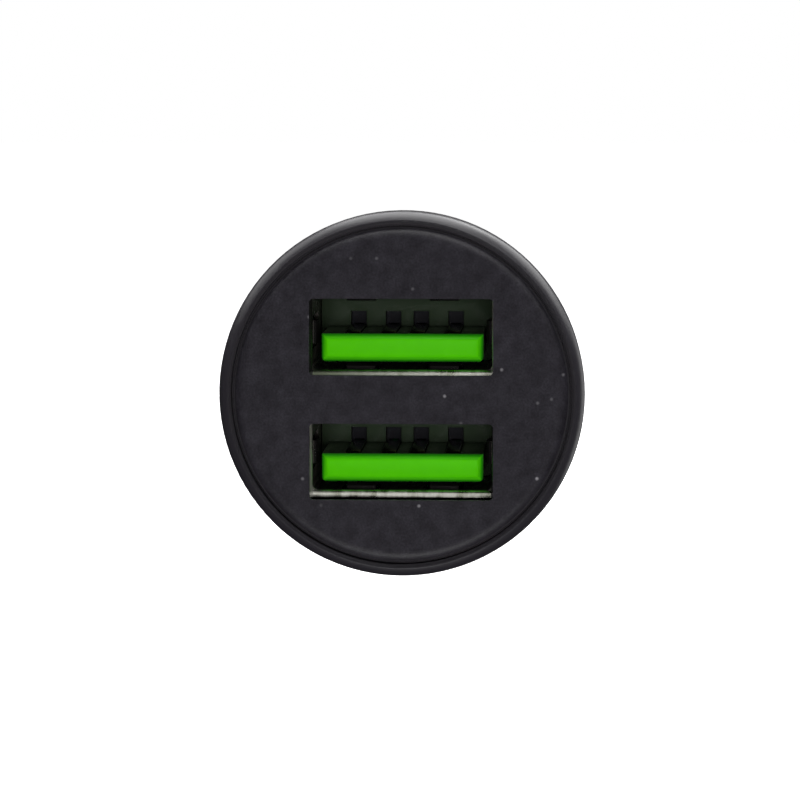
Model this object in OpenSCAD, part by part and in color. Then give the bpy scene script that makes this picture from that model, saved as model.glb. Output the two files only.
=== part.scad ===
// Twin charger plug for the 12 volt socket of a vehicle, with two USB-A sockets in its face.
// The axis runs along Y and the tip points to +Y. Z is up, and the face looks along -Y.
// The origin is on the axis, in the plane of the shoulder that meets the rim of the vehicle's socket.

/* [Head] */
// Largest diameter of the head
head_d = 25.4; // [25.2:0.1:27]
// How much narrower the head is at the shoulder than at its widest
head_taper = 1.4; // [0.6:0.1:1.6]
// Length of the head, from the shoulder to the crest of the lip
head_len = 14; // [13.5:0.25:16]
// Radius that rolls the side of the head over into the lip
lip_round = 1.2; // [1.1:0.05:1.4]
// Radius on the inner edge of the lip
lip_inner_round = 0.2; // [0.15:0.01:0.25]
// Width of the lip around the face plate
lip_w = 0.9; // [0.8:0.05:1]
// Radius between the side of the head and the shoulder
shoulder_round = 0.9; // [0.5:0.1:1.1]
// Thickness of the head's wall around the sockets
head_wall = 1.8; // [1.7:0.05:1.85]
// Thickness of the wall between the head and the barrel
step_t = 1.3; // [1.2:0.1:1.6]

/* [Face plate] */
// Ring gap between the face plate and the lip
plate_gap = 0.15; // [0.1:0.01:0.2]
// Thickness of the face plate
plate_t = 1.2; // [1.1:0.1:1.5]
// Radius on the front edge of the face plate
plate_round = 0.8; // [0.5:0.1:0.9]
// How far the face plate stands out of the lip
plate_proud = 0.15; // [0:0.05:0.3]
// Width of a mouth in the face plate
mouth_w = 12.7; // [12.5:0.1:12.8]
// Height of a mouth in the face plate
mouth_h = 5.3; // [5.2:0.1:5.4]
// Spacing of the two mouths
mouth_pitch = 8.65; // [8.4:0.05:8.8]
// How far the mouths sit below the sockets behind them
mouth_drop = 0.3; // [0:0.05:0.4]
// How much a mouth widens on each side toward the back of the face plate
mouth_draft = 0.18; // [0.1:0.02:0.24]
// Width of a snap leg on the back of the face plate
snap_w = 3.5; // [3:0.1:3.6]
// Thickness of a snap leg
snap_t = 0.9; // [0.8:0.05:1]
// Length of a snap leg
snap_len = 4.4; // [4:0.1:6]
// How far the barb of a snap leg stands out
barb_h = 0.4; // [0.3:0.05:0.45]

/* [USB sockets] */
// Spacing of the two sockets
port_pitch = 8.4; // [8.3:0.1:8.6]
// Inner width of a socket's shell
shell_w = 12.5; // [12.4:0.05:12.6]
// Inner height of a socket's shell
shell_h = 5.12; // [5.1:0.01:5.2]
// Sheet thickness of a shell
shell_t = 0.3; // [0.25:0.01:0.32]
// How far the front edges of a shell flare out
flare_h = 0.45; // [0.3:0.05:0.5]
// Slope of the flared front edges, in degrees from the axis
flare_slope = 58; // [50:1:64]
// Width of a retention spring in the shell
tab_w = 2; // [1.8:0.1:2.2]
// How far a retention spring reaches into the socket
tab_in = 0.4; // [0.3:0.05:0.45]
// Distance of the retention springs from the middle of the socket
tab_x = 2.9; // [2.7:0.1:3.1]
// Gap between a tongue and each side of the shell
tongue_side_gap = 0.6; // [0.55:0.05:0.7]
// Thickness of a tongue
tongue_t = 1.98; // [1.84:0.02:2.04]
// Gap between a tongue and the shell below it
tongue_gap = 0.5; // [0.46:0.01:0.6]
// How far a tongue starts behind the front of the shell
tongue_set = 0.85; // [0.7:0.05:1]
// Radius around the front of a tongue
tongue_round = 0.55; // [0.4:0.05:0.6]
// Radius on the lower side edges of a tongue
tongue_corner = 0.4; // [0.3:0.05:0.5]
// Thickness of the block behind a tongue
base_t = 1.1; // [1:0.1:1.3]
// Spacing of the two outer contacts of a socket
outer_pitch = 7; // [6.9:0.1:7.1]
// Spacing of the two inner contacts of a socket
inner_pitch = 2; // [1.9:0.1:2.1]
// Width of a contact
contact_w = 1; // [0.9:0.05:1.05]
// Thickness of a contact
contact_t = 0.25; // [0.2:0.01:0.3]
// Height of the slots that open above the tongue in the block behind it
slot_h = 1.07; // [0.9:0.01:1.15]

/* [Barrel] */
// Diameter of the barrel next to the shoulder
barrel_d = 20.6; // [20.4:0.1:20.8]
// Length of the straight part of the barrel
seat_len = 8; // [7:0.5:10]
// Diameter of the barrel at its far end
barrel_end_d = 19.6; // [19.2:0.1:20]
// Length of the barrel, from the shoulder to the nose cap
barrel_len = 33; // [32:0.5:36]
// Bore of the barrel
barrel_bore_d = 17.6; // [17.4:0.05:17.7]

/* [Nose cap and tip] */
// Length of the nose cap in front of the barrel
cap_len = 3.5; // [3.2:0.1:4.5]
// Radius that rolls the nose cap over to its front
cap_round = 2.3; // [1.8:0.1:2.6]
// Thickness of the front wall of the nose cap
cap_wall = 1.7; // [1.4:0.1:2]
// Number of grip flutes around the nose cap
flute_count = 18; // [12:1:24]
// Depth of a grip flute
flute_depth = 0.35; // [0.2:0.05:0.45]
// Diameter of the tip
pin_d = 4.8; // [4.4:0.1:5]
// How far the tip stands out of the nose cap
pin_out = 4.5; // [4:0.25:5.5]
// Radius on the end of the tip
pin_round = 1.8; // [1.2:0.1:2]
// Running gap around the tip
pin_gap = 0.08; // [0.05:0.01:0.1]
// Diameter of the flange that keeps the tip in the nose cap
flange_d = 7; // [6.6:0.1:7.1]
// Thickness of the flange
flange_t = 1; // [0.8:0.1:1.2]
// Length of the tip's spring at rest
spring_len = 6; // [5.8:0.1:6.4]
// Outer diameter of the tip's spring
spring_d = 5.1; // [4.9:0.1:5.2]
// Wire of the tip's spring
spring_wire = 0.5; // [0.4:0.02:0.52]
// Number of turns of the tip's spring
spring_turns = 5.5; // [5:0.5:6]

/* [Side contacts] */
// Width of a side contact
leaf_w = 4.5; // [4:0.1:4.6]
// Thickness of a side contact
leaf_t = 0.4; // [0.3:0.05:0.45]
// Distance of the crest of a side contact from the axis
leaf_out = 11; // [10.9:0.05:11.2]
// Distance of the seats of a side contact from the axis
leaf_seat = 8.6; // [8.55:0.01:8.65]
// Distance from the shoulder to the free end of a side contact
leaf_y = 5.8; // [5.4:0.1:6.5]
// Length of the flat at the free end of a side contact
leaf_tail = 2.8; // [2.4:0.1:3.2]
// Length of the flat at the held end of a side contact
leaf_foot = 2.4; // [2:0.1:2.8]
// Gap between a side contact and the slot around it
leaf_gap = 0.2; // [0.15:0.05:0.25]

/* [Boards and components] */
// Thickness of both circuit boards
board_t = 1.2; // [1:0.1:1.3]
// Width of the long board
board_w = 15; // [14.6:0.1:15.1]
// Depth of the long board's top face below the axis
board_drop = 3; // [2.9:0.05:3.1]
// Ring gap around the round board that carries the sockets
round_board_gap = 0.2; // [0.15:0.05:0.3]
// Height of the coil on the long board
coil_h = 5.5; // [5:0.1:6.5]
// Share of the length for components on the long board that the coil takes
coil_share = 0.34; // [0.3:0.01:0.34]
// Share of that length that each of the two capacitors takes
cap_share = 0.249; // [0.2:0.001:0.249]
// Height of the two capacitors
cap_h = 7.7; // [6.5:0.1:8]

/* [Hidden] */
$fn = 64;

// Width of the overlap that joins two pieces of one solid
lap = 0.2;
// Clearance of pieces that drop into a slot or a bore
fit_gap = 0.05;
// Clearance around pins and tabs that pass through a board
hole_gap = 0.1;

head_r = head_d / 2;
barrel_r = barrel_d / 2;
barrel_end_r = barrel_end_d / 2;
barrel_bore_r = barrel_bore_d / 2;
head_bore_r = head_r - head_wall;

// Lip and crown of the head
lip_bore_r = head_r - lip_w;
lip_dx = lip_round - lip_w + lip_inner_round;
lip_dy = sqrt(pow(lip_round - lip_inner_round, 2) - pow(lip_dx, 2));
lip_y = -head_len + lip_dy + lip_inner_round;
crown_dr = head_taper / 2;
crown_dy = -lip_y - shoulder_round;
crown_r = (pow(crown_dy, 2) + pow(crown_dr, 2)) / (2 * crown_dr);
shoulder_x = head_r - crown_r + sqrt(pow(crown_r - shoulder_round, 2) - pow(crown_dy, 2));
shoulder_y = lip_y + crown_r * crown_dy / (crown_r - shoulder_round);

// Face plate
plate_r = lip_bore_r - plate_gap;
plate_y = -head_len - plate_proud;
ledge_y = plate_y + plate_t;
mouth_r = 0.3;
mouth_land = 0.3;
snap_gap = 0.25;
snap_x = head_bore_r - snap_gap;
snap_play = 0.1;
barb_tail = 0.4;
barb_len = 0.8;
barb_flat = 0.2;
barb_y = ledge_y + snap_len - barb_len - barb_tail;

// Sockets
shell_y = ledge_y + fit_gap;
socket_y = -step_t - board_t;
shell_r = 0.35;
flare_bend = shell_t + 0.1;
flare_steps = 5;
flare_flat = (flare_h - flare_bend * (1 - cos(flare_slope))) / sin(flare_slope);
flare_len = flare_bend * sin(flare_slope) + flare_flat * cos(flare_slope);
tab_start = 1.4;
tab_bump = 2.1;
tab_end = 6.4;
tab_slit = 0.35;
tab_tip_y = shell_y + tab_start;
tab_bump_y = shell_y + tab_bump;
tab_root_y = shell_y + tab_end;
side_tab_w = tab_w * 0.8;
leg_w = 1;
leg_z = 1.5;
base_y = socket_y - base_t;
tongue_w = shell_w - 2 * tongue_side_gap;
tongue_y = shell_y + tongue_set;
tongue_z = -shell_h / 2 + tongue_gap;
tongue_top = tongue_z + tongue_t;
contact_proud = 0.1;
contact_set = 0.15;
contact_lead = 0.5;
contact_nose = 0.12;
contact_z = tongue_top + contact_proud - contact_t;
contact_y = tongue_y + tongue_round + contact_set;
contact_tail_w = 0.6;
contact_tail_y = -step_t + 0.4;
groove_back = 0.3;

// Boards
board_z = -board_drop;
board_under = board_z - board_t;
board_y = -step_t + 0.6;
board_end_gap = 3.5;
board_end = barrel_len - board_end_gap;
round_board_r = head_bore_r - round_board_gap;
shoulder_tab_w = 1.6;
board_tab_x = 5.1;
board_tab_w = 1.6;
rail_h = 1.1;
rail_w = 4;
rail_x = 8;
rail_end_gap = 1.5;

// Nose
cap_y = barrel_len + cap_len;
spigot_len = 1.3;
spigot_y = barrel_len - spigot_len;
spigot_wall = 1.4;
chamber_r = flange_d / 2 + 0.25;
chamber_y = cap_y - cap_wall;
sleeve_wall = 1.1;
flute_r = 0.6;
flange_y = chamber_y - flange_t;
pin_y = cap_y + pin_out;
boss_len = 2;
seat_y = flange_y - spring_len;
seat_t = 0.6;
seat_w = 6.4;
seat_h = 6.2;
seat_foot = 3.2;
peg_len = 1.1;
peg_r = 1.6;

// Side contacts
leaf_slack = 0.3;
leaf_face = leaf_seat - 0.02;
leaf_end = spigot_y - 0.3;
bow_y0 = leaf_y + leaf_tail;
bow_y1 = leaf_end - leaf_foot;
bow_half = (bow_y1 - bow_y0) / 2;
bow_sag = leaf_out - leaf_face;
bow_r = (pow(bow_half, 2) + pow(bow_sag, 2)) / (2 * bow_sag);
lead_t = 0.3;
lead_w = 1.7;
lead_gap = 0.12;
lead_face = leaf_face - leaf_t - lead_gap;
lead_y = board_end - 0.2;
lead_reach = 2.1;
lead_x = board_w / 2 - lead_reach;
lead_finger_w = 0.7;
lead_finger_top = 1.5;

// Components, placed by their share of the length between the board's front and the spring seat
room = seat_y - seat_foot - board_y;
function along(share) = board_y + share * room;
coil_d = coil_share * room;
coil_y = along(0.522);
coil_flange = 1;
coil_post_r = 0.2325 * coil_d;
coil_wire = 0.5;
coil_turns = 7;
coil_rim = 0.07 * coil_d;
cap_d = cap_share * room;
cap_foot = 1;
cap_groove = 0.25;
output_cap_y = along(0.2055);
input_cap_y = along(0.834);
chip_l = 4.9;
chip_w = 3.9;
chip_t = 1.4;
chip_lift = 0.1;
chip_pitch = 1.27;
chip_reach = 3;
chip_leg_w = 0.42;
chip_leg_t = 0.18;
chip_leg_h = 0.85;
chip_leg_foot = 0.6;
chip_leg_slope = 0.15;
diode_l = 4.3;
diode_w = 2.6;
diode_t = 1.75;
diode_lift = 0.15;
diode_tab_w = 1.4;
diode_tab_t = 0.2;
diode_tab_h = 0.9;
diode_tab_out = 0.45;
resistor_l = 2;
resistor_w = 1.25;
resistor_t = 0.5;
resistor_edge = 2.3;
resistor_x = board_w / 2 - resistor_edge;

// A shape drawn as radius and distance along the axis is turned around the axis
module turned(steps = 128)
    rotate([-90, 0, 0]) rotate_extrude($fn = steps) children();

// A shape drawn as seen from the front reaches from y0 to y1
module slab(y0, y1)
    translate([0, y1, 0]) rotate([90, 0, 0]) linear_extrude(y1 - y0) children();

// A shape drawn in Y and Z is extruded across, with its middle at X = 0
module across(w)
    rotate([90, 0, 90]) linear_extrude(w, center = true) children();

// A box between two corners, given as its span on each axis
module block(x, y, z)
    translate([x[0], y[0], z[0]]) cube([x[1] - x[0], y[1] - y[0], z[1] - z[0]]);

// A rectangle with rounded corners, about its middle
module rounded(w, h, r) {
    square([w - 2 * r, h], center = true);
    square([w, h - 2 * r], center = true);
    for (i = [-1, 1], j = [-1, 1])
        translate([i * (w / 2 - r), j * (h / 2 - r)]) circle(r);
}

// Half of the lengthwise section of the head, as radius and distance along the axis
module head_section() {
    lip_t = lip_round / (lip_round - lip_inner_round);
    lip_x = head_r - lip_round;
    difference() {
        union() {
            intersection() {
                translate([head_r - crown_r, lip_y]) circle(crown_r, $fn = 1440);
                translate([barrel_bore_r, lip_y]) square([head_r, shoulder_y - lip_y]);
            }
            intersection() {
                translate([lip_x, lip_y]) circle(lip_round);
                translate([lip_x + lip_dx * lip_t, lip_y - lip_round]) square(lip_round);
            }
            translate([lip_x + lip_dx, lip_y - lip_dy]) circle(lip_inner_round);
            translate([lip_bore_r, lip_y - lip_dy])
                square([lip_dx * lip_t - lip_dx + lip_inner_round, lip_dy]);
            translate([shoulder_x, -shoulder_round]) circle(shoulder_round);
            polygon([
                [barrel_bore_r, shoulder_y], [shoulder_x + shoulder_round / 2, shoulder_y],
                [shoulder_x, 0], [barrel_bore_r, 0]
            ]);
        }
        translate([0, -head_len - 1]) square([lip_bore_r, head_len + 1 + ledge_y]);
        translate([0, ledge_y - 1]) square([head_bore_r, 1 - ledge_y - step_t]);
    }
}

// Half of the lengthwise section of the barrel
module barrel_section() {
    polygon([
        [barrel_bore_r, -lap], [barrel_r, -lap], [barrel_r, seat_len],
        [barrel_end_r, barrel_len - 0.2], [barrel_end_r - 0.2, barrel_len], [barrel_bore_r, barrel_len]
    ]);
}

module board_rails() {
    rail_len = board_end - rail_end_gap;
    intersection() {
        for (s = [-1, 1])
            translate([s * rail_x, rail_len / 2, board_under - rail_h / 2])
                cube([rail_w, rail_len, rail_h], center = true);
        slab(-lap, board_end) circle(barrel_bore_r + 0.5, $fn = 128);
    }
}

module housing() {
    color("#2b292e")
    difference() {
        union() {
            turned() head_section();
            turned() barrel_section();
            board_rails();
        }
        for (s = [0, 180])
            rotate([0, s, 0]) {
                slot = leaf_w / 2 + leaf_gap;
                block([barrel_r / 2, leaf_out], [bow_y0 - leaf_gap, bow_y1 + leaf_gap], [-slot, slot]);
                block([barrel_r / 2, leaf_seat], [leaf_y - leaf_slack, leaf_end + leaf_gap], [-slot, slot]);
            }
        for (a = [0:90:270])
            rotate([0, a, 0]) {
                window = snap_w / 2 + snap_play;
                pocket = snap_x + barb_h + snap_play;
                block([head_bore_r / 2, pocket], [barb_y - fit_gap, ledge_y + snap_len], [-window, window]);
            }
    }
}

module plate_section() {
    square_h = plate_t - plate_round;
    translate([0, plate_y]) square([plate_r - plate_round, plate_t]);
    translate([0, ledge_y - square_h]) square([plate_r, square_h]);
    intersection() {
        translate([plate_r - plate_round, plate_y + plate_round]) circle(plate_round);
        translate([plate_r - plate_round - lap, plate_y]) square([plate_round + lap, plate_round]);
    }
}

module snap_leg() {
    block([snap_x - snap_t, snap_x], [ledge_y - lap, ledge_y + snap_len], [-snap_w / 2, snap_w / 2]);
    linear_extrude(snap_w, center = true)
        polygon([
            [snap_x - snap_t / 2, barb_y], [snap_x + barb_h, barb_y], [snap_x + barb_h, barb_y + barb_flat],
            [snap_x, barb_y + barb_len], [snap_x - snap_t / 2, barb_y + barb_len]
        ]);
}

module mouth() {
    slab(plate_y - 1, ledge_y + 1) rounded(mouth_w, mouth_h, mouth_r);
    intersection() {
        across(2 * mouth_w) mouth_bevel(mouth_h / 2);
        rotate([0, 90, 0]) across(2 * mouth_w) mouth_bevel(mouth_w / 2);
    }
}

// Behind a narrow land the mouth widens toward the back, drawn as depth and half width
module mouth_bevel(half) {
    land_y = plate_y + mouth_land;
    slope = mouth_draft / (ledge_y - land_y);
    past = half + mouth_draft + slope * lap;
    polygon([
        [land_y, -half], [ledge_y + lap, -past], [ledge_y + lap, past], [land_y, half]
    ]);
}

module face_plate() {
    color("#2d2b30")
    difference() {
        union() {
            turned() plate_section();
            for (a = [0:90:270]) rotate([0, a, 0]) snap_leg();
        }
        for (s = [-1, 1]) translate([0, 0, s * mouth_pitch / 2 - mouth_drop]) mouth();
    }
}

// One face of a flared edge, as distance along the axis and from the middle: a bend of radius r, then a flat
function flare_face(half, r, flat) =
    let (c = cos(flare_slope), s = sin(flare_slope), y = shell_y + flare_len, d = half + flare_bend)
    concat(
        [[y + fit_gap, d - r]],
        [for (i = [0:flare_steps]) let (a = i * flare_slope / flare_steps) [y - r * sin(a), d - r * cos(a)]],
        [[y - r * s - flat * c, d - r * c + flat * s]]
    );

// A form that widens to the front on both sides alike
module flared(face) {
    last = len(face) - 1;
    polygon(concat(face, [for (i = [last:-1:0]) [face[i][0], -face[i][1]]]));
}

module flare_outside(half)
    flared(concat(flare_face(half, flare_bend - shell_t, flare_flat), [[shell_y, half + flare_h]]));

module flare_inside(half)
    flared(flare_face(half, flare_bend, flare_flat + lap));

// The flared front edge all round the shell, mitred at its corners
module flare_frame() {
    reach = 2 * shell_w;
    difference() {
        intersection() {
            across(reach) flare_outside(shell_h / 2);
            rotate([0, 90, 0]) across(reach) flare_outside(shell_w / 2);
        }
        intersection() {
            across(reach) flare_inside(shell_h / 2);
            rotate([0, 90, 0]) across(reach) flare_inside(shell_w / 2);
        }
    }
}

// A retention spring, as distance along the axis and from the middle
module tab(half) {
    polygon([
        [tab_tip_y, half - tab_in / 2], [tab_bump_y, half - tab_in],
        [tab_root_y, half], [tab_root_y + lap, half],
        [tab_root_y + lap, half + shell_t], [tab_root_y, half + shell_t],
        [tab_bump_y, half - tab_in + shell_t], [tab_tip_y, half - tab_in / 2 + shell_t]
    ]);
}

module socket_shell() {
    w = shell_w + 2 * shell_t;
    h = shell_h + 2 * shell_t;
    opening = [tab_tip_y - tab_slit, tab_root_y];
    half = tab_w / 2 + tab_slit;
    side_half = side_tab_w / 2 + tab_slit;
    difference() {
        slab(shell_y + flare_len, socket_y) rounded(w, h, shell_r + shell_t);
        slab(shell_y, socket_y + 1) rounded(shell_w, shell_h, shell_r);
        for (s = [-1, 1]) translate([s * tab_x, 0, 0]) block([-half, half], opening, [-h, h]);
        block([-w, w], opening, [-side_half, side_half]);
    }
    flare_frame();
    for (a = [0, 180])
        rotate([0, a, 0]) {
            for (s = [-1, 1]) translate([s * tab_x, 0, 0]) across(tab_w) tab(shell_h / 2);
            rotate([0, 90, 0]) across(side_tab_w) tab(shell_w / 2);
            for (s = [-1, 1])
                translate([shell_w / 2, 0, s * leg_z])
                    block([0, shell_t], [socket_y - lap, -step_t - fit_gap], [-leg_w / 2, leg_w / 2]);
        }
}

// Middle of each of the four contacts of a socket
function contact_x(i) = [-outer_pitch, -inner_pitch, inner_pitch, outer_pitch][i] / 2;

// The front edges are round, and the back is cut off square inside the block
module tongue() {
    back = base_y + lap;
    length = back - tongue_y + tongue_round;
    middle_y = tongue_y + length / 2;
    middle_z = tongue_z + tongue_t / 2;
    intersection() {
        linear_extrude(shell_h, center = true)
            translate([0, middle_y]) rounded(tongue_w, length, tongue_round);
        across(tongue_w + 1) translate([middle_y, middle_z]) rounded(length, tongue_t, tongue_round);
        slab(tongue_y - 1, back)
            translate([0, middle_z]) {
                rounded(tongue_w, tongue_t, tongue_corner);
                translate([-tongue_w / 2, 0]) square([tongue_w, tongue_t / 2]);
            }
    }
}

module socket_insulator() {
    groove = contact_w / 2 + fit_gap;
    tail = contact_tail_w / 2 + fit_gap;
    back = socket_y - groove_back;
    difference() {
        union() {
            slab(base_y, socket_y) rounded(shell_w - 2 * fit_gap, shell_h - 2 * fit_gap, shell_r);
            tongue();
        }
        for (i = [0:3])
            translate([contact_x(i), 0, 0]) {
                block([-groove, groove], [contact_y - fit_gap, back], [contact_z, tongue_top + lap]);
                block([-groove, groove], [base_y - lap, back], [contact_z, tongue_top + slot_h]);
                block([-tail, tail], [base_y, socket_y + 1], [contact_z, contact_z + contact_t + fit_gap]);
            }
    }
}

module socket_contact(i) {
    back = socket_y - groove_back - fit_gap;
    translate([contact_x(i), 0, 0]) {
        across(contact_w)
            polygon([
                [contact_y, contact_z], [back, contact_z], [back, contact_z + contact_t],
                [contact_y + contact_lead, contact_z + contact_t],
                [contact_y, contact_z + contact_t - contact_nose]
            ]);
        translate([0, 0, contact_z])
            block([-contact_tail_w / 2, contact_tail_w / 2], [back - lap, contact_tail_y], [0, contact_t]);
    }
}

module in_upper() translate([0, 0, port_pitch / 2]) children();
module in_lower() translate([0, 0, -port_pitch / 2]) children();

module upper_socket_shell() color("#c9cbc6") in_upper() socket_shell();
module lower_socket_shell() color("#c9cbc6") in_lower() socket_shell();
module upper_socket_insulator() color("#4cb811") in_upper() socket_insulator();
module lower_socket_insulator() color("#4cb811") in_lower() socket_insulator();
module upper_socket_contact_1() color("#d8b56a") in_upper() socket_contact(0);
module upper_socket_contact_2() color("#d8b56a") in_upper() socket_contact(1);
module upper_socket_contact_3() color("#d8b56a") in_upper() socket_contact(2);
module upper_socket_contact_4() color("#d8b56a") in_upper() socket_contact(3);
module lower_socket_contact_1() color("#d8b56a") in_lower() socket_contact(0);
module lower_socket_contact_2() color("#d8b56a") in_lower() socket_contact(1);
module lower_socket_contact_3() color("#d8b56a") in_lower() socket_contact(2);
module lower_socket_contact_4() color("#d8b56a") in_lower() socket_contact(3);

module socket_board() {
    color("#1d6a3c")
    slab(socket_y, -step_t)
        difference() {
            circle(round_board_r, $fn = 128);
            for (s = [-1, 1], i = [0:3])
                translate([contact_x(i), s * port_pitch / 2 + contact_z + contact_t / 2])
                    square([contact_tail_w + 2 * hole_gap, contact_t + 2 * hole_gap], center = true);
            for (s = [-1, 1], j = [-1, 1], k = [-1, 1])
                translate([j * (shell_w + shell_t) / 2, s * port_pitch / 2 + k * leg_z])
                    square([shell_t + hole_gap, leg_w + 2 * hole_gap], center = true);
            for (j = [-1, 1])
                translate([j * board_tab_x, board_z - board_t / 2])
                    square([board_tab_w + 2 * fit_gap, board_t + 2 * fit_gap], center = true);
        }
}

module main_board() {
    color("#1d6a3c")
    translate([0, 0, board_under])
        linear_extrude(board_t) {
            translate([-board_w / 2, board_y]) square([board_w, board_end - board_y]);
            for (s = [-1, 1]) {
                translate([s * board_tab_x - board_tab_w / 2, socket_y + fit_gap])
                    square([board_tab_w, board_y - socket_y + lap]);
                translate([s * (board_w - shoulder_tab_w) / 2 - shoulder_tab_w / 2, -step_t])
                    square([shoulder_tab_w, board_y + step_t + lap]);
            }
        }
}

module on_board(x, y) translate([x, y, board_z]) children();
module under_board(x, y) translate([x, y, board_under]) rotate([180, 0, 0]) children();

module inductor_core() {
    color("#3a3b3d")
    on_board(0, coil_y) {
        cylinder(h = coil_flange, d = coil_d);
        cylinder(h = coil_h, r = coil_post_r);
        translate([0, 0, coil_h - coil_flange]) cylinder(h = coil_flange, d = coil_d);
    }
}

module inductor_winding() {
    space = coil_h - 2 * coil_flange;
    turn_r = coil_d / 2 - coil_rim;
    color("#b5672e")
    on_board(0, coil_y)
        translate([0, 0, coil_flange])
            rotate_extrude($fn = 64) {
                translate([coil_post_r + fit_gap, 0]) square([turn_r - coil_post_r - fit_gap, space]);
                for (i = [0:coil_turns - 1])
                    translate([turn_r, (i + 0.5) * space / coil_turns]) circle(coil_wire / 2, $fn = 16);
            }
}

// A leg of the chip, bent down to the board, drawn as distance from the middle and height
module gull_leg() {
    bend = chip_reach - chip_leg_foot;
    root = chip_w / 2 - lap;
    across(chip_leg_w)
        polygon([
            [root, chip_leg_h], [root, chip_leg_h - chip_leg_t],
            [bend - chip_leg_slope, chip_leg_h - chip_leg_t], [bend, 0], [chip_reach, 0],
            [chip_reach, chip_leg_t], [bend + chip_leg_slope, chip_leg_t], [bend, chip_leg_h]
        ]);
}

module controller_chip() {
    color("#222326")
    under_board(0, along(0.289)) rotate([0, 0, 90]) {
        block([-chip_l / 2, chip_l / 2], [-chip_w / 2, chip_w / 2], [chip_lift, chip_lift + chip_t]);
        for (i = [0:3], s = [0, 180])
            rotate([0, 0, s]) translate([(i - 1.5) * chip_pitch, 0, 0]) gull_leg();
    }
}

module rectifier_diode() {
    end = diode_l / 2 + diode_tab_out;
    width = [-diode_tab_w / 2, diode_tab_w / 2];
    color("#26272a")
    under_board(0, along(0.7)) {
        block([-diode_w / 2, diode_w / 2], [-diode_l / 2, diode_l / 2], [diode_lift, diode_lift + diode_t]);
        for (s = [0, 180])
            rotate([0, 0, s]) {
                block(width, [diode_l / 2 - diode_tab_out, end], [0, diode_tab_t]);
                block(width, [diode_l / 2 - lap / 2, diode_l / 2 + diode_tab_t], [0, diode_tab_h]);
            }
    }
}

// An electrolytic capacitor on its square foot
module capacitor() {
    r = cap_d / 2;
    can_r = r - hole_gap;
    corner = r / 2;
    groove_z = cap_foot + 0.95;
    difference() {
        translate([-r, -r, 0]) cube([cap_d, cap_d, cap_foot]);
        for (s = [-1, 1])
            translate([s * r, r, 0]) rotate([0, 0, 45]) cube([corner, corner, 3 * cap_foot], center = true);
    }
    rotate_extrude($fn = 64)
        polygon([
            [0, cap_foot], [can_r, cap_foot],
            [can_r, groove_z - cap_groove], [can_r - cap_groove, groove_z], [can_r, groove_z + cap_groove],
            [can_r, cap_h - cap_groove], [can_r - cap_groove, cap_h], [0, cap_h]
        ]);
}

module input_capacitor() color("#b9bcc0") on_board(0, input_cap_y) capacitor();
module output_capacitor() color("#b9bcc0") on_board(0, output_cap_y) capacitor();

module resistor()
    block([-resistor_w / 2, resistor_w / 2], [-resistor_l / 2, resistor_l / 2], [0, resistor_t]);

module chip_resistors() {
    color("#1b1b1d") {
        for (p = [[-1, 0.154], [1, 0.154], [-1, 0.917], [1, 0.739], [1, 0.917]])
            on_board(p[0] * resistor_x, along(p[1])) resistor();
        for (p = [[-1, 0.522], [1, 0.522], [-1, 0.838], [1, 0.838]])
            under_board(p[0] * resistor_x, along(p[1])) resistor();
    }
}

module spring_seat() {
    color("#cfc29a") {
        block([-seat_w / 2, seat_w / 2], [seat_y - seat_t, seat_y], [board_z, board_z + seat_h]);
        block([-seat_w / 2, seat_w / 2], [seat_y - seat_foot, seat_y], [board_z, board_z + seat_t]);
        slab(seat_y - lap, seat_y + peg_len) circle(peg_r);
    }
}

// A point on the edge of a coiled wire's section, at a share from -1 to 1 along it
function slice_point(share, r, w, reach) =
    let (a = reach * share, d = r + w * sqrt(1 - pow(share, 2))) [d * cos(a), d * sin(a)];

// Section of a coiled wire across the coil's axis, for a wire of radius w on a coil of radius r
module coil_slice(r, w, pitch) {
    n = 6;
    reach = 360 * w / pitch;
    half = [for (i = [0:n]) -cos(180 * i / n)];
    polygon([
        for (i = [0:n]) slice_point(half[i], r, w, reach),
        for (i = [n - 1:-1:1]) slice_point(half[i], r, -w, reach)
    ]);
}

module tip_spring() {
    pitch = spring_len / spring_turns;
    color("#aeb1b4")
    translate([0, seat_y, 0]) rotate([-90, 0, 0])
        linear_extrude(spring_len, twist = -360 * spring_turns, slices = 20 * spring_turns, $fn = 12)
            coil_slice((spring_d - spring_wire) / 2, spring_wire / 2, pitch);
}

// A bent strip from the long board to the foot of a side contact
module ground_lead() {
    wall = [lead_face - lead_t, lead_face];
    block([lead_x, lead_face], [lead_y - lead_w, lead_y], [board_z, board_z + lead_t]);
    block(wall, [lead_y - lead_w, leaf_end], [board_z, -leaf_w / 2 - lead_gap]);
    block(wall, [leaf_end - lead_finger_w, leaf_end], [board_z, lead_finger_top]);
}

module ground_lead_left() color("#c9a45c") mirror([1, 0, 0]) ground_lead();
module ground_lead_right() color("#c9a45c") ground_lead();

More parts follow.
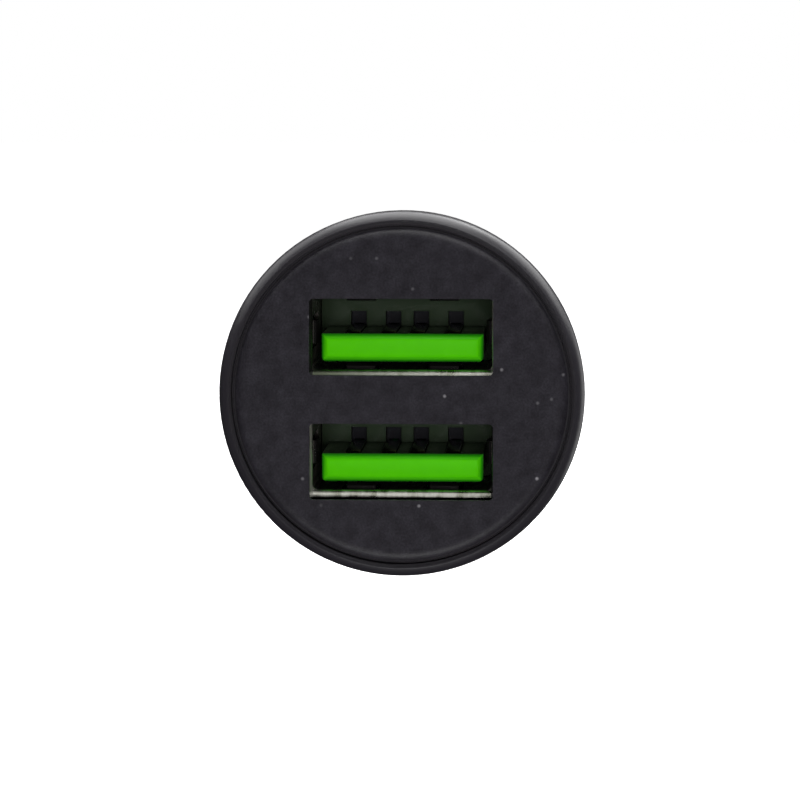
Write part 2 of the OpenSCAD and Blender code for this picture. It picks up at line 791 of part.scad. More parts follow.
module cap_section() {
    bore = pin_d / 2 + pin_gap;
    ring_r = barrel_end_r;
    spigot_r = barrel_bore_r - fit_gap;
    sleeve_r = chamber_r + sleeve_wall;
    round_y = cap_y - cap_round;
    difference() {
        union() {
            translate([0, spigot_y]) square([spigot_r, barrel_len + lap - spigot_y]);
            polygon([
                [0, barrel_len], [ring_r - 0.2, barrel_len], [ring_r, barrel_len + 0.2],
                [ring_r, round_y], [ring_r - cap_round, cap_y], [0, cap_y]
            ]);
            intersection() {
                translate([ring_r - cap_round, round_y]) circle(cap_round);
                translate([0, round_y]) square([ring_r, cap_round]);
            }
        }
        translate([0, spigot_y - 1]) square([chamber_r, chamber_y - spigot_y + 1]);
        translate([0, spigot_y]) square([bore, cap_y]);
        translate([sleeve_r, spigot_y - 1])
            square([spigot_r - spigot_wall - sleeve_r, chamber_y - spigot_y + sleeve_wall / 2]);
    }
}

module nose_cap() {
    color("#252427")
    difference() {
        turned() cap_section();
        for (i = [0:flute_count - 1])
            rotate([0, i * 360 / flute_count, 0])
                slab(barrel_len + flute_r, cap_y + 1)
                    translate([barrel_end_r + flute_r - flute_depth, 0]) circle(flute_r, $fn = 24);
    }
}

module pin_section() {
    r = pin_d / 2;
    square_top = pin_y - pin_round;
    translate([0, flange_y]) square([flange_d / 2, flange_t]);
    translate([0, flange_y]) square([r, square_top - flange_y]);
    translate([0, flange_y - boss_len]) square([peg_r, boss_len + lap]);
    translate([0, flange_y]) square([r - pin_round, pin_y - flange_y]);
    intersection() {
        translate([r - pin_round, square_top]) circle(pin_round);
        translate([0, square_top - lap]) square([r, pin_round + lap]);
    }
}

module centre_pin() color("#cbccce") turned(64) pin_section();

module side_contact() {
    linear_extrude(leaf_w, center = true) {
        intersection() {
            translate([leaf_out - bow_r, (bow_y0 + bow_y1) / 2])
                difference() {
                    circle(bow_r, $fn = 360);
                    circle(bow_r - leaf_t, $fn = 360);
                }
            translate([0, bow_y0]) square([leaf_out + 1, bow_y1 - bow_y0]);
        }
        translate([leaf_face - leaf_t, leaf_y]) square([leaf_t, leaf_tail + 0.02]);
        translate([leaf_face - leaf_t, bow_y1 - 0.02]) square([leaf_t, leaf_foot + 0.02]);
    }
}

module left_contact() color("#c4c6c8") mirror([1, 0, 0]) side_contact();
module right_contact() color("#c4c6c8") side_contact();

housing();
face_plate();
nose_cap();
upper_socket_shell();
upper_socket_insulator();
upper_socket_contact_1();
upper_socket_contact_2();
upper_socket_contact_3();
upper_socket_contact_4();
lower_socket_shell();
lower_socket_insulator();
lower_socket_contact_1();
lower_socket_contact_2();
lower_socket_contact_3();
lower_socket_contact_4();
socket_board();
main_board();
inductor_core();
inductor_winding();
controller_chip();
rectifier_diode();
input_capacitor();
output_capacitor();
chip_resistors();
spring_seat();
tip_spring();
ground_lead_left();
ground_lead_right();
centre_pin();
left_contact();
right_contact();
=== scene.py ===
import math

import bmesh
import bpy
from mathutils import Matrix, Vector


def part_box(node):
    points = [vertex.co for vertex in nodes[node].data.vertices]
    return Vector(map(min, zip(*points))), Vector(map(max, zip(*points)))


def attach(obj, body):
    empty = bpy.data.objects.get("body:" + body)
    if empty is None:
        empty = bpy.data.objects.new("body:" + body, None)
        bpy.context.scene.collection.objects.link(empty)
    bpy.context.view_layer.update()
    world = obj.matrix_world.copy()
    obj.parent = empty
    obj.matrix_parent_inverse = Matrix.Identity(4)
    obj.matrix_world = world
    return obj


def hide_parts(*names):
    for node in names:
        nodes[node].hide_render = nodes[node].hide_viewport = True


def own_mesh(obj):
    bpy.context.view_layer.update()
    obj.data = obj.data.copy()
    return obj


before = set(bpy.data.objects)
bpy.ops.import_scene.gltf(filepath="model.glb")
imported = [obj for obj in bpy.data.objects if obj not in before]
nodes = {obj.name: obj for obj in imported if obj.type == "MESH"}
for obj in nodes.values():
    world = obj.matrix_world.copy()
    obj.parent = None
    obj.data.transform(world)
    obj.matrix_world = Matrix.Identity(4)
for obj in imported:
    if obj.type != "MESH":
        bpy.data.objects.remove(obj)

MM = 0.001
scene = bpy.context.scene
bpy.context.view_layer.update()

# PLACES ON THE PLUG

# The plug's axis is Y. Its face looks along -Y, and the front of a piece is its lowest Y
FACE_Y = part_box("face_plate")[0].y
SHELL_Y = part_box("upper_socket_shell")[0].y
TONGUE_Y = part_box("upper_socket_insulator")[0].y
CONTACT_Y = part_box("upper_socket_contact_1")[0].y
# The back wall of a socket, which the contacts pass through in slots
BACK_WALL = 1.1 * MM
BACK_WALL_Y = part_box("upper_socket_insulator")[1].y - BACK_WALL
# The head is widest here
LIP_Y = -13 * MM
# The inside of the lip ends before this
LIP_BACK_Y = -10 * MM

PLATE_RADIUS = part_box("face_plate")[1].x
PLATE_GAP = 0.15 * MM
LIP_RADIUS = PLATE_RADIUS + PLATE_GAP
# The insulator fills its shell from side to side, so the shell's sides lie beyond this
SHELL_SIDE_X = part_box("upper_socket_insulator")[1].x

BOARD_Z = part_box("input_capacitor")[0].z
CAN_FOOT = 1.02 * MM

# CAMERA

LENS = 150
SENSOR_WIDTH = 36
FACE_DISTANCE = 230 * MM
CAMERA_AZIMUTH = math.radians(2.6)
CAMERA_ELEVATION = math.radians(5.0)
# The plug's middle sits a little above and to the right of the picture's middle
AIM_X = -0.115 * MM
AIM_Z = -0.41 * MM

aim_at = Vector((AIM_X, LIP_Y, AIM_Z))
towards_camera = Vector((
    math.sin(CAMERA_AZIMUTH) * math.cos(CAMERA_ELEVATION),
    -math.cos(CAMERA_AZIMUTH) * math.cos(CAMERA_ELEVATION),
    math.sin(CAMERA_ELEVATION),
))
camera = bpy.data.objects.new("camera", bpy.data.cameras.new("camera"))
camera.data.lens = LENS
camera.data.sensor_width = SENSOR_WIDTH
camera.data.clip_start = 0.01
camera.data.clip_end = 50
camera.location = aim_at + towards_camera * (FACE_DISTANCE + LIP_Y - FACE_Y)
camera.rotation_euler = towards_camera.to_track_quat("Z", "Y").to_euler()
scene.collection.objects.link(camera)
scene.camera = camera

# HELPERS

WELD_GAP = 0.0005 * MM
FLAT_TURN = math.radians(0.5)
SHARP_TURN = math.radians(35)


def linear(code):
    """The linear colour of an sRGB hex value."""
    parts = [int(code[i:i + 2], 16) / 255 for i in (1, 3, 5)]
    return [p / 12.92 if p <= 0.04045 else ((p + 0.055) / 1.055) ** 2.4 for p in parts] + [1]


def add(tree, kind, inputs=None, **settings):
    """Adds a shader node with its settings, and sets or links its inputs."""
    made = tree.nodes.new("ShaderNode" + kind)
    for name, value in settings.items():
        setattr(made, name, value)
    for key, value in (inputs or {}).items():
        if isinstance(value, bpy.types.NodeSocket):
            tree.links.new(value, made.inputs[key])
        else:
            made.inputs[key].default_value = value
    return made


def start_finish(name):
    """An empty material, its tree and the object coordinates of the piece that wears it."""
    material = bpy.data.materials.new(name)
    material.use_nodes = True
    tree = material.node_tree
    tree.nodes.clear()
    return material, tree, add(tree, "TexCoord").outputs["Object"]


def distance_from_axis(tree, place):
    """How far a place lies from the plug's axis."""
    across = add(tree, "VectorMath", {0: place, 1: (1, 0, 1)}, operation="MULTIPLY")
    return add(tree, "VectorMath", {0: across.outputs[0]}, operation="LENGTH").outputs["Value"]


def close_finish(tree, inputs):
    """Ends a material with its shader."""
    shader = add(tree, "BsdfPrincipled", inputs)
    add(tree, "OutputMaterial", {"Surface": shader.outputs["BSDF"]})


def wear(finish, *names):
    """Gives CAD nodes a finish."""
    for name in names:
        nodes[name].data.materials.clear()
        nodes[name].data.materials.append(finish)


def own_copy(node, finish, body="plug"):
    """A smooth copy of a CAD node that stands for the node."""
    made = bmesh.new()
    made.from_mesh(nodes[node].data)
    bmesh.ops.remove_doubles(made, verts=made.verts, dist=WELD_GAP)
    bmesh.ops.dissolve_limit(made, angle_limit=FLAT_TURN, verts=made.verts, edges=made.edges)
    mesh = bpy.data.meshes.new(node + "_eased")
    made.to_mesh(mesh)
    made.free()
    piece = bpy.data.objects.new(node + "_eased", mesh)
    scene.collection.objects.link(piece)
    for face in mesh.polygons:
        face.use_smooth = True
    mesh.materials.append(finish)
    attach(piece, body)
    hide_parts(node)
    return piece


def softened(node, width, finish, body="plug"):
    """A copy of a CAD node with its sharp edges broken as a tool leaves them."""
    piece = own_copy(node, finish, body)
    edge = piece.modifiers.new("eased_edges", "BEVEL")
    edge.width = width
    edge.segments = 2
    edge.limit_method = "ANGLE"
    edge.angle_limit = SHARP_TURN
    edge.harden_normals = True
    edge.use_clamp_overlap = True
    return piece


# FINISHES

# ABS, moulded in a polished tool: charcoal with a soft gloss that is a little uneven where the wall
# shrank. It is matt inside the lip, where the tool was left unpolished. In the gap around the face plate
# it is painted a little paler: painted light in the groove's shade
housing_abs, tree, place = start_finish("housing_polished_abs")
sink = add(tree, "TexNoise", {"Vector": place, "Scale": 1 / (3.5 * MM), "Detail": 2}).outputs["Fac"]
peel = add(tree, "TexNoise", {"Vector": place, "Scale": 1 / (0.22 * MM), "Detail": 3}).outputs["Fac"]
clear = add(tree, "Mix", {0: sink, 6: linear("#28262b"), 7: linear("#2e2c31")}, data_type="RGBA")
from_axis = distance_from_axis(tree, place)
lip_inside = add(tree, "MapRange", {
    "Value": from_axis, "From Min": LIP_RADIUS + 0.35 * MM, "From Max": LIP_RADIUS + 0.15 * MM,
})
at = add(tree, "SeparateXYZ", {"Vector": place})
in_front = add(tree, "Math", {0: at.outputs["Y"], 1: LIP_BACK_Y}, operation="LESS_THAN")
unpolished = add(tree, "Math", {
    0: lip_inside.outputs["Result"], 1: in_front.outputs[0],
}, operation="MULTIPLY")
polish = add(tree, "MapRange", {"Value": sink, "To Min": 0.30, "To Max": 0.38})
gloss = add(tree, "Mix", {0: unpolished.outputs[0], 2: polish.outputs["Result"], 3: 0.7})
# Painted light: the lip is painted paler next to the gap around the face plate, to lift the groove's
# shade
painted_gap_light = add(tree, "MapRange", {
    "Value": from_axis, "From Min": LIP_RADIUS + 0.1 * MM, "From Max": LIP_RADIUS,
})
rough = add(tree, "Mix", {
    0: painted_gap_light.outputs["Result"], 6: linear("#222024"), 7: linear("#353337"),
}, data_type="RGBA")
tone = add(tree, "Mix", {
    0: unpolished.outputs[0], 6: clear.outputs[2], 7: rough.outputs[2],
}, data_type="RGBA")
skin = add(tree, "Bump", {"Height": peel, "Strength": 0.08, "Distance": 0.05 * MM})
close_finish(tree, {
    "Base Color": tone.outputs[2], "Roughness": gloss.outputs[0], "IOR": 1.54,
    "Normal": skin.outputs["Normal"],
})
wear(housing_abs, "housing")

# ABS, moulded in a spark-eroded tool: the same charcoal, matt and finely pitted, cloudy from handling,
# with a few specks of lint, and painted paler along its edge as painted light in the groove. The grain
# is really about 0.05 mm across and is drawn at 0.14 mm, so that it shows at all
face_abs, tree, place = start_finish("face_spark_grained_abs")
grain = add(tree, "TexNoise", {"Vector": place, "Scale": 1 / (0.14 * MM), "Detail": 2}).outputs["Fac"]
cloud = add(tree, "TexNoise", {
    "Vector": place, "Scale": 1 / (1.1 * MM), "Detail": 4, "Roughness": 0.65,
})
bloom = add(tree, "MapRange", {"Value": cloud.outputs["Fac"], "From Min": 0.3, "From Max": 0.7})
tone = add(tree, "Mix", {
    0: bloom.outputs["Result"], 6: linear("#1f1d22"), 7: linear("#2f2d33"),
}, data_type="RGBA")
pits = add(tree, "MapRange", {
    "Value": grain, "From Min": 0.3, "From Max": 0.7, "To Min": 0.7, "To Max": 1.3,
})
pitted = add(tree, "VectorMath", {
    0: tone.outputs[2], "Scale": pits.outputs["Result"],
}, operation="SCALE")
at = add(tree, "SeparateXYZ", {"Vector": place})
flat = add(tree, "CombineXYZ", {"X": at.outputs["X"], "Y": at.outputs["Z"]})
specks = add(tree, "TexVoronoi", {
    "Vector": flat.outputs[0], "Scale": 1 / (1.9 * MM),
}, voronoi_dimensions="2D")
rare = add(tree, "MapRange", {"Value": specks.outputs["Color"], "From Min": 0.7, "From Max": 1.0})
near = add(tree, "MapRange", {
    "Value": specks.outputs["Distance"], "From Min": 0.02, "From Max": 0.08, "To Min": 1, "To Max": 0,
})
lint = add(tree, "Math", {0: rare.outputs["Result"], 1: near.outputs["Result"]}, operation="MULTIPLY")
specked = add(tree, "Mix", {
    0: lint.outputs[0], 6: pitted.outputs[0], 7: linear("#9a989c"),
}, data_type="RGBA")
# Painted light: the plate's edge is painted paler, to lift the shade in the groove
painted_gap_light = add(tree, "MapRange", {
    "Value": distance_from_axis(tree, place),
    "From Min": PLATE_RADIUS - 0.15 * MM, "From Max": PLATE_RADIUS,
})
tone = add(tree, "Mix", {
    0: painted_gap_light.outputs["Result"], 6: specked.outputs[2], 7: linear("#5c5a5e"),
}, data_type="RGBA")
skin = add(tree, "Bump", {"Height": grain, "Strength": 0.3, "Distance": 0.03 * MM})
close_finish(tree, {
    "Base Color": tone.outputs[2], "Roughness": 0.5, "IOR": 1.54, "Normal": skin.outputs["Normal"],
})
wear(face_abs, "face_plate")

# Glass-filled nylon, moulded: a heat-proof cap that looks dull and faintly streaked by its fibres. They
# are really about 0.01 mm thick, and the streaks are drawn at 0.25 mm, so that they show at all
cap_nylon, tree, place = start_finish("cap_glass_filled_nylon")
stretched = add(tree, "Mapping", {"Vector": place, "Scale": (1, 0.25, 1)})
fibres = add(tree, "TexNoise", {
    "Vector": stretched.outputs[0], "Scale": 1 / (0.25 * MM), "Detail": 3,
}).outputs["Fac"]
tone = add(tree, "Mix", {0: fibres, 6: linear("#222124"), 7: linear("#2b2a2e")}, data_type="RGBA")
skin = add(tree, "Bump", {"Height": fibres, "Strength": 0.2, "Distance": 0.03 * MM})
close_finish(tree, {
    "Base Color": tone.outputs[2], "Roughness": 0.5, "IOR": 1.53, "Normal": skin.outputs["Normal"],
})
wear(cap_nylon, "nose_cap")

# Nickel on rolled steel sheet: bright on the flared edge, which was sheared and bent in the press and is
# a little uneven. Painted shade darkens it toward the left end of the upper socket; its sides carry a
# painted highlight and painted shade; and further in it is painted dark grey as shade
shell_nickel, tree, place = start_finish("shell_nickel_plated_sheet")
at = add(tree, "SeparateXYZ", {"Vector": place})
# Painted shade: the shell is painted darker from just behind its front inward, and is less metallic
# there
painted_shade_inward = add(tree, "MapRange", {
    "Value": at.outputs["Y"], "From Min": SHELL_Y + 0.4 * MM, "From Max": SHELL_Y + 0.8 * MM,
})
press = add(tree, "Mapping", {"Vector": place, "Scale": (1, 0.3, 0.3)})
marks = add(tree, "TexNoise", {
    "Vector": press.outputs[0], "Scale": 1 / (0.7 * MM), "Detail": 4,
}).outputs["Fac"]
# Painted shade: the upper socket's shell is painted darker toward its left end
left_end = add(tree, "MapRange", {"Value": at.outputs["X"], "From Min": 4 * MM, "From Max": -5 * MM})
upper_one = add(tree, "Math", {0: at.outputs["Z"], 1: 0.0}, operation="GREATER_THAN")
tarnish_and_painted_shade = add(tree, "Math", {
    0: left_end.outputs["Result"], 1: upper_one.outputs[0],
}, operation="MULTIPLY")
haze = add(tree, "MapRange", {
    "Value": marks, "From Min": 0.3, "From Max": 0.7, "To Min": 0.24, "To Max": 0.42,
})
wear_mark = add(tree, "MapRange", {"Value": marks, "From Min": 0.36, "From Max": 0.6})
bright = add(tree, "Mix", {
    0: wear_mark.outputs["Result"], 6: linear("#8c8d80"), 7: linear("#dcdcd2"),
}, data_type="RGBA")
painted_shade_left_end = add(tree, "Mix", {
    0: tarnish_and_painted_shade.outputs[0], 6: bright.outputs[2], 7: linear("#5e6454"),
}, data_type="RGBA")
# Painted highlight: upper right and lower left, the sides are painted bright; the other two sides get
# painted shade
sideways = add(tree, "Math", {0: at.outputs["X"]}, operation="ABSOLUTE")
side = add(tree, "Math", {0: sideways.outputs[0], 1: SHELL_SIDE_X}, operation="GREATER_THAN")
corner = add(tree, "Math", {0: at.outputs["X"], 1: at.outputs["Z"]}, operation="MULTIPLY")
painted_highlight_sides = add(tree, "Math", {0: corner.outputs[0], 1: 0.0}, operation="GREATER_THAN")
side_painted_light = add(tree, "Mix", {
    0: painted_highlight_sides.outputs[0], 6: linear("#2c2c2a"), 7: linear("#a4a49a"),
}, data_type="RGBA")
edge = add(tree, "Mix", {
    0: side.outputs[0], 6: painted_shade_left_end.outputs[2], 7: side_painted_light.outputs[2],
}, data_type="RGBA")
# Painted shade further in: dark grey on the top and bottom walls, a lighter grey on the side walls
painted_inner_shade = add(tree, "Mix", {
    0: side.outputs[0], 6: linear("#262524"), 7: linear("#5c5a54"),
}, data_type="RGBA")
greyed = add(tree, "Mix", {
    0: painted_shade_inward.outputs["Result"], 6: edge.outputs[2], 7: painted_inner_shade.outputs[2],
}, data_type="RGBA")
inward_or_side = add(tree, "Math", {0: painted_shade_inward.outputs["Result"], 1: side.outputs[0]}, operation="MAXIMUM")
metal = add(tree, "MapRange", {"Value": inward_or_side.outputs[0], "To Min": 1.0, "To Max": 0.5})
dents = add(tree, "Bump", {"Height": marks, "Strength": 0.4, "Distance": 0.08 * MM})
close_finish(tree, {
    "Base Color": greyed.outputs[2], "Metallic": metal.outputs["Result"],
    "Roughness": haze.outputs["Result"], "Normal": dents.outputs["Normal"],
})

# PBT, moulded in a bright green: smooth, with painted shade in a deeper green where the tongue's edge
# rolls away, painted shade in a dark grey-green behind the front, and painted black shade in the slots
socket_pbt, tree, place = start_finish("socket_moulded_green_pbt")
at = add(tree, "SeparateXYZ", {"Vector": place})
faced = add(tree, "SeparateXYZ", {"Vector": place.node.outputs["Normal"]})
# Painted shade: a deeper green where the surface turns away from the front
painted_edge_shade = add(tree, "MapRange", {"Value": faced.outputs["Y"], "From Min": -1.0, "From Max": -0.72})
flow = add(tree, "TexNoise", {"Vector": place, "Scale": 1 / (0.9 * MM), "Detail": 2})
front = add(tree, "Mix", {
    0: flow.outputs["Fac"], 6: linear("#55da04"), 7: linear("#5ee406"),
}, data_type="RGBA")
edge = add(tree, "Mix", {
    0: painted_edge_shade.outputs["Result"], 6: front.outputs[2], 7: linear("#2ca80c"),
}, data_type="RGBA")
# Painted shade: from just behind the tongue's front the green is painted a dark grey-green, darker
# inward
painted_shade_behind_front = add(tree, "MapRange", {
    "Value": at.outputs["Y"], "From Min": TONGUE_Y + 0.25 * MM, "From Max": TONGUE_Y + 0.75 * MM,
})
inward = add(tree, "MapRange", {
    "Value": at.outputs["Y"], "From Min": TONGUE_Y + 3.05 * MM, "From Max": BACK_WALL_Y - 0.6 * MM,
})
deepening_painted_shade = add(tree, "Mix", {
    0: inward.outputs["Result"], 6: linear("#55664c"), 7: linear("#2a3427"),
}, data_type="RGBA")
with_painted_shade = add(tree, "Mix", {
    0: painted_shade_behind_front.outputs["Result"], 6: edge.outputs[2], 7: deepening_painted_shade.outputs[2],
}, data_type="RGBA")
# Painted shade: the slots are painted black
in_slots = add(tree, "MapRange", {
    "Value": at.outputs["Y"], "From Min": BACK_WALL_Y + 0.02 * MM, "From Max": BACK_WALL_Y + 0.15 * MM,
})
tone = add(tree, "Mix", {
    0: in_slots.outputs["Result"], 6: with_painted_shade.outputs[2], 7: linear("#1c1c1f"),
}, data_type="RGBA")
close_finish(tree, {"Base Color": tone.outputs[2], "Roughness": 0.3, "IOR": 1.55})

# Gold flash over nickel on the sprung contacts: warm and smooth, paler where it is rubbed, and painted
# dark further in as shade
contact_gold, tree, place = start_finish("contact_gold_flash")
rub = add(tree, "TexNoise", {"Vector": place, "Scale": 1 / (0.3 * MM), "Detail": 2})
clean = add(tree, "Mix", {
    0: rub.outputs["Fac"], 6: linear("#d9b35c"), 7: linear("#e8cb85"),
}, data_type="RGBA")
at = add(tree, "SeparateXYZ", {"Vector": place})
# Painted shade: the contacts are painted dark further into the socket
painted_shade_inward = add(tree, "MapRange", {
    "Value": at.outputs["Y"], "From Min": CONTACT_Y + 0.75 * MM, "From Max": CONTACT_Y + 1.75 * MM,
})
tone = add(tree, "Mix", {
    0: painted_shade_inward.outputs["Result"], 6: clean.outputs[2], 7: linear("#2e2b27"),
}, data_type="RGBA")
close_finish(tree, {"Base Color": tone.outputs[2], "Metallic": 1.0, "Roughness": 0.22})

# Epoxy and glass board under green solder resist: glossy film over tracks that stand up a little
board_resist, tree, place = start_finish("board_green_solder_resist")
tracks = add(tree, "TexBrick", {
    "Vector": place, "Scale": 1 / (2.2 * MM), "Mortar Size": 0.09,
    "Color1": linear("#1d6a3c"), "Color2": linear("#1a6338"), "Mortar": linear("#2c8a4e"),
})
film = add(tree, "Bump", {"Height": tracks.outputs["Fac"], "Strength": 0.3, "Distance": 0.04 * MM})
close_finish(tree, {
    "Base Color": tracks.outputs["Color"], "Roughness": 0.32, "IOR": 1.5,
    "Normal": film.outputs["Normal"],
})
wear(board_resist, "socket_board", "main_board")

# Ferrite, pressed and fired: dark grey and dry, with coarser grains in it
core_ferrite, tree, place = start_finish("core_fired_ferrite")
grains = add(tree, "TexVoronoi", {"Vector": place, "Scale": 1 / (0.12 * MM)}).outputs["Distance"]
tone = add(tree, "Mix", {0: grains, 6: linear("#323335"), 7: linear("#4a4b4e")}, data_type="RGBA")
skin = add(tree, "Bump", {"Height": grains, "Strength": 0.4, "Distance": 0.03 * MM})
close_finish(tree, {
    "Base Color": tone.outputs[2], "Roughness": 0.6, "IOR": 1.6, "Normal": skin.outputs["Normal"],
})
wear(core_ferrite, "inductor_core")

# Copper wire in clear enamel: reddish metal that shines through a hard varnish
winding_copper, tree, place = start_finish("winding_enamelled_copper")
draw = add(tree, "TexNoise", {"Vector": place, "Scale": 1 / (0.4 * MM), "Detail": 2}).outputs["Fac"]
tone = add(tree, "Mix", {0: draw, 6: linear("#a8542a"), 7: linear("#c97840")}, data_type="RGBA")
close_finish(tree, {
    "Base Color": tone.outputs[2], "Metallic": 1.0, "Roughness": 0.3, "Coat Weight": 0.8,
})
wear(winding_copper, "inductor_winding")

# Black epoxy, transfer moulded: dull, with the fine pits of its silica filler
chip_epoxy, tree, place = start_finish("chip_moulded_epoxy")
filler = add(tree, "TexNoise", {"Vector": place, "Scale": 1 / (0.09 * MM), "Detail": 3}).outputs["Fac"]
tone = add(tree, "Mix", {0: filler, 6: linear("#1b1b1e"), 7: linear("#2a2a2d")}, data_type="RGBA")
skin = add(tree, "Bump", {"Height": filler, "Strength": 0.3, "Distance": 0.02 * MM})
close_finish(tree, {
    "Base Color": tone.outputs[2], "Roughness": 0.62, "IOR": 1.55, "Normal": skin.outputs["Normal"],
})
wear(chip_epoxy, "controller_chip", "rectifier_diode", "chip_resistors")

# Aluminium can, drawn and lacquered, on a rubber foot: satin silver, with a black foot about 1 mm high
can_aluminium, tree, place = start_finish("can_drawn_aluminium")
at = add(tree, "SeparateXYZ", {"Vector": place})
is_can = add(tree, "Math", {0: at.outputs["Z"], 1: BOARD_Z + CAN_FOOT}, operation="GREATER_THAN")
satin = add(tree, "Mapping", {"Vector": place, "Scale": (1, 1, 0.1)})
brushed = add(tree, "TexNoise", {
    "Vector": satin.outputs[0], "Scale": 1 / (0.1 * MM), "Detail": 2,
}).outputs["Fac"]
silver = add(tree, "Mix", {0: brushed, 6: linear("#c2c4c7"), 7: linear("#d6d8da")}, data_type="RGBA")
tone = add(tree, "Mix", {
    0: is_can.outputs[0], 6: linear("#1d1d1f"), 7: silver.outputs[2],
}, data_type="RGBA")
close_finish(tree, {"Base Color": tone.outputs[2], "Metallic": is_can.outputs[0], "Roughness": 0.35})
wear(can_aluminium, "input_capacitor", "output_capacitor")

# Brass sheet, stamped and dulled by handling: warm metal with darker blotches
sheet_brass, tree, place = start_finish("sheet_stamped_brass")
tarnish_and_painted_shade = add(tree, "TexNoise", {"Vector": place, "Scale": 1 / (1.5 * MM), "Detail": 4}).outputs["Fac"]
tone = add(tree, "Mix", {0: tarnish_and_painted_shade, 6: linear("#b08a48"), 7: linear("#d4b06a")}, data_type="RGBA")
dull = add(tree, "MapRange", {"Value": tarnish_and_painted_shade, "To Min": 0.42, "To Max": 0.26})
close_finish(tree, {
    "Base Color": tone.outputs[2], "Metallic": 1.0, "Roughness": dull.outputs["Result"],
})
wear(sheet_brass, "spring_seat", "ground_lead_left", "ground_lead_right")

# Music wire, drawn: grey steel with a dull sheen
spring_steel, tree, place = start_finish("spring_drawn_wire")
drawn = add(tree, "TexNoise", {"Vector": place, "Scale": 1 / (0.15 * MM), "Detail": 3}).outputs["Fac"]
tone = add(tree, "Mix", {0: drawn, 6: linear("#9a9c9f"), 7: linear("#b9bbbe")}, data_type="RGBA")
close_finish(tree, {"Base Color": tone.outputs[2], "Metallic": 1.0, "Roughness": 0.34})

# Brass turned on a lathe and nickel plated: bright, with fine turning lines round the axis
tip_nickel, tree, place = start_finish("tip_turned_nickel")
turning = add(tree, "Mapping", {"Vector": place, "Scale": (0.02, 1, 0.02)})
lines = add(tree, "TexNoise", {
    "Vector": turning.outputs[0], "Scale": 1 / (0.12 * MM), "Detail": 3,
}).outputs["Fac"]
haze = add(tree, "MapRange", {"Value": lines, "To Min": 0.14, "To Max": 0.3})
tone = add(tree, "Mix", {0: lines, 6: linear("#cfcdc6"), 7: linear("#dddbd5")}, data_type="RGBA")
skin = add(tree, "Bump", {"Height": lines, "Strength": 0.1, "Distance": 0.01 * MM})
close_finish(tree, {
    "Base Color": tone.outputs[2], "Metallic": 1.0, "Roughness": haze.outputs["Result"],
    "Normal": skin.outputs["Normal"],
})
wear(tip_nickel, "centre_pin")

# Stainless strip, stamped and bent: grey and satin, with fine rolling lines that run along the spring
leaf_stainless, tree, place = start_finish("leaf_stamped_stainless")
strip = add(tree, "Mapping", {"Vector": place, "Scale": (1, 0.05, 1)})
lines = add(tree, "TexNoise", {
    "Vector": strip.outputs[0], "Scale": 1 / (0.1 * MM), "Detail": 3,
}).outputs["Fac"]
haze = add(tree, "MapRange", {"Value": lines, "To Min": 0.22, "To Max": 0.4})
tone = add(tree, "Mix", {0: lines, 6: linear("#bdbebf"), 7: linear("#cfd0d0")}, data_type="RGBA")
close_finish(tree, {
    "Base Color": tone.outputs[2], "Metallic": 1.0, "Roughness": haze.outputs["Result"],
})

# SOCKETS

METAL_EDGE = 0.05 * MM
TONGUE_EDGE = 0.06 * MM
CONTACTS = 4

for where in ("upper", "lower"):
    softened(f"{where}_socket_shell", METAL_EDGE, shell_nickel)
    softened(f"{where}_socket_insulator", TONGUE_EDGE, socket_pbt)
    for number in range(1, CONTACTS + 1):
        softened(f"{where}_socket_contact_{number}", METAL_EDGE, contact_gold)

# SIDE CONTACTS

LEAF_EDGE = 0.06 * MM

for side in ("left", "right"):
    softened(f"{side}_contact", LEAF_EDGE, leaf_stainless, f"{side}_spring")

# TIP SPRING

# The coil rests on its seat
coil = own_copy("tip_spring", spring_steel)
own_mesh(coil)

# STUDIO

FLOOR_Z = -45 * MM
FLOOR_REACH = 6

floor_shape = bmesh.new()
bmesh.ops.create_grid(
    floor_shape, x_segments=1, y_segments=1, size=FLOOR_REACH,
    matrix=Matrix.Translation((0, 0, FLOOR_Z)),
)
floor_mesh = bpy.data.meshes.new("studio_floor")
floor_shape.to_mesh(floor_mesh)
floor_shape.free()
studio_floor = bpy.data.objects.new("studio_floor", floor_mesh)
scene.collection.objects.link(studio_floor)
studio_floor.visible_diffuse = False
studio_floor.visible_glossy = False
studio_floor.visible_shadow = False

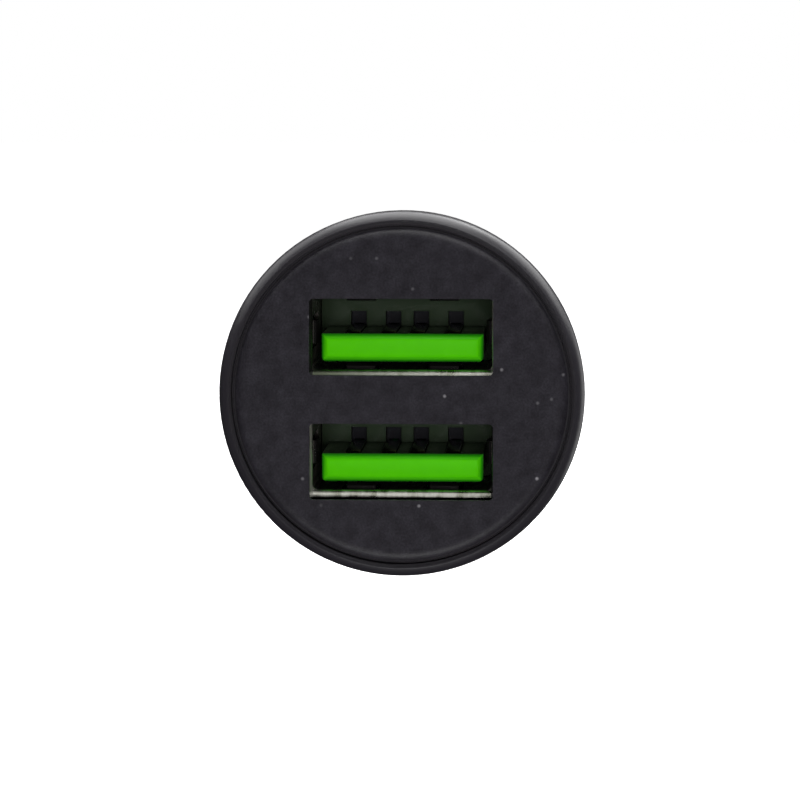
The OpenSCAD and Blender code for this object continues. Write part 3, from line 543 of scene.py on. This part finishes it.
# White paper, lit from below as well, so that it stays clear of shadow
paper, tree, _ = start_finish("studio_paper")
own_light = add(tree, "Emission", {"Color": (1, 1, 1, 1), "Strength": 1.0})
sheet = add(tree, "BsdfDiffuse", {"Color": (0.8, 0.8, 0.8, 1)})
both = add(tree, "AddShader", {0: own_light.outputs[0], 1: sheet.outputs[0]})
add(tree, "OutputMaterial", {"Surface": both.outputs[0]})
floor_mesh.materials.append(paper)

# The room looks white to the camera and lights the plug only dimly
room = bpy.data.worlds.new("studio_room")
scene.world = room
room.use_nodes = True
tree = room.node_tree
tree.nodes.clear()
ray = add(tree, "LightPath")
white = add(tree, "Background", {"Color": (1, 1, 1, 1), "Strength": 1.0})
dim = add(tree, "Background", {"Color": linear("#8a8890"), "Strength": 0.06})
choice = add(tree, "MixShader", {
    0: ray.outputs["Is Camera Ray"], 1: dim.outputs[0], 2: white.outputs[0],
})
add(tree, "OutputWorld", {"Surface": choice.outputs[0]})


def softbox(name, position, size, brightness):
    """A rectangular soft light that faces the plug. Its brightness is that of its own surface."""
    light = bpy.data.lights.new(name, "AREA")
    light.shape = "RECTANGLE"
    light.size, light.size_y = size
    light.energy = brightness * math.pi * size[0] * size[1]
    lamp = bpy.data.objects.new(name, light)
    lamp.location = position
    lamp.rotation_euler = Vector(position).to_track_quat("Z", "Y").to_euler()
    scene.collection.objects.link(lamp)
    return lamp


softbox("overhead_softbox", (0.0, 0.14, 0.55), (0.50, 0.70), 4.0)
softbox("right_wing", (0.40, 0.27, 0.42), (0.9, 0.40), 2.8)
softbox("right_softbox", (0.62, 0.42, -0.05), (0.5, 0.66), 1.2)
softbox("left_wing", (-0.42, 0.14, 0.42), (0.5, 0.44), 1.9)
softbox("front_ceiling", (0.14, -0.33, 0.53), (0.5, 0.22), 1.5)
softbox("table_bounce", (0.0, -0.36, -0.47), (0.46, 0.22), 3.2)
# A lamp in front behind a polariser, which lights colours without a shine of its own
front_lamp = softbox("front_lamp", (0.04, -0.85, 0.0), (0.35, 0.16), 24)
front_lamp.visible_glossy = False

scene.view_settings.view_transform = "Standard"
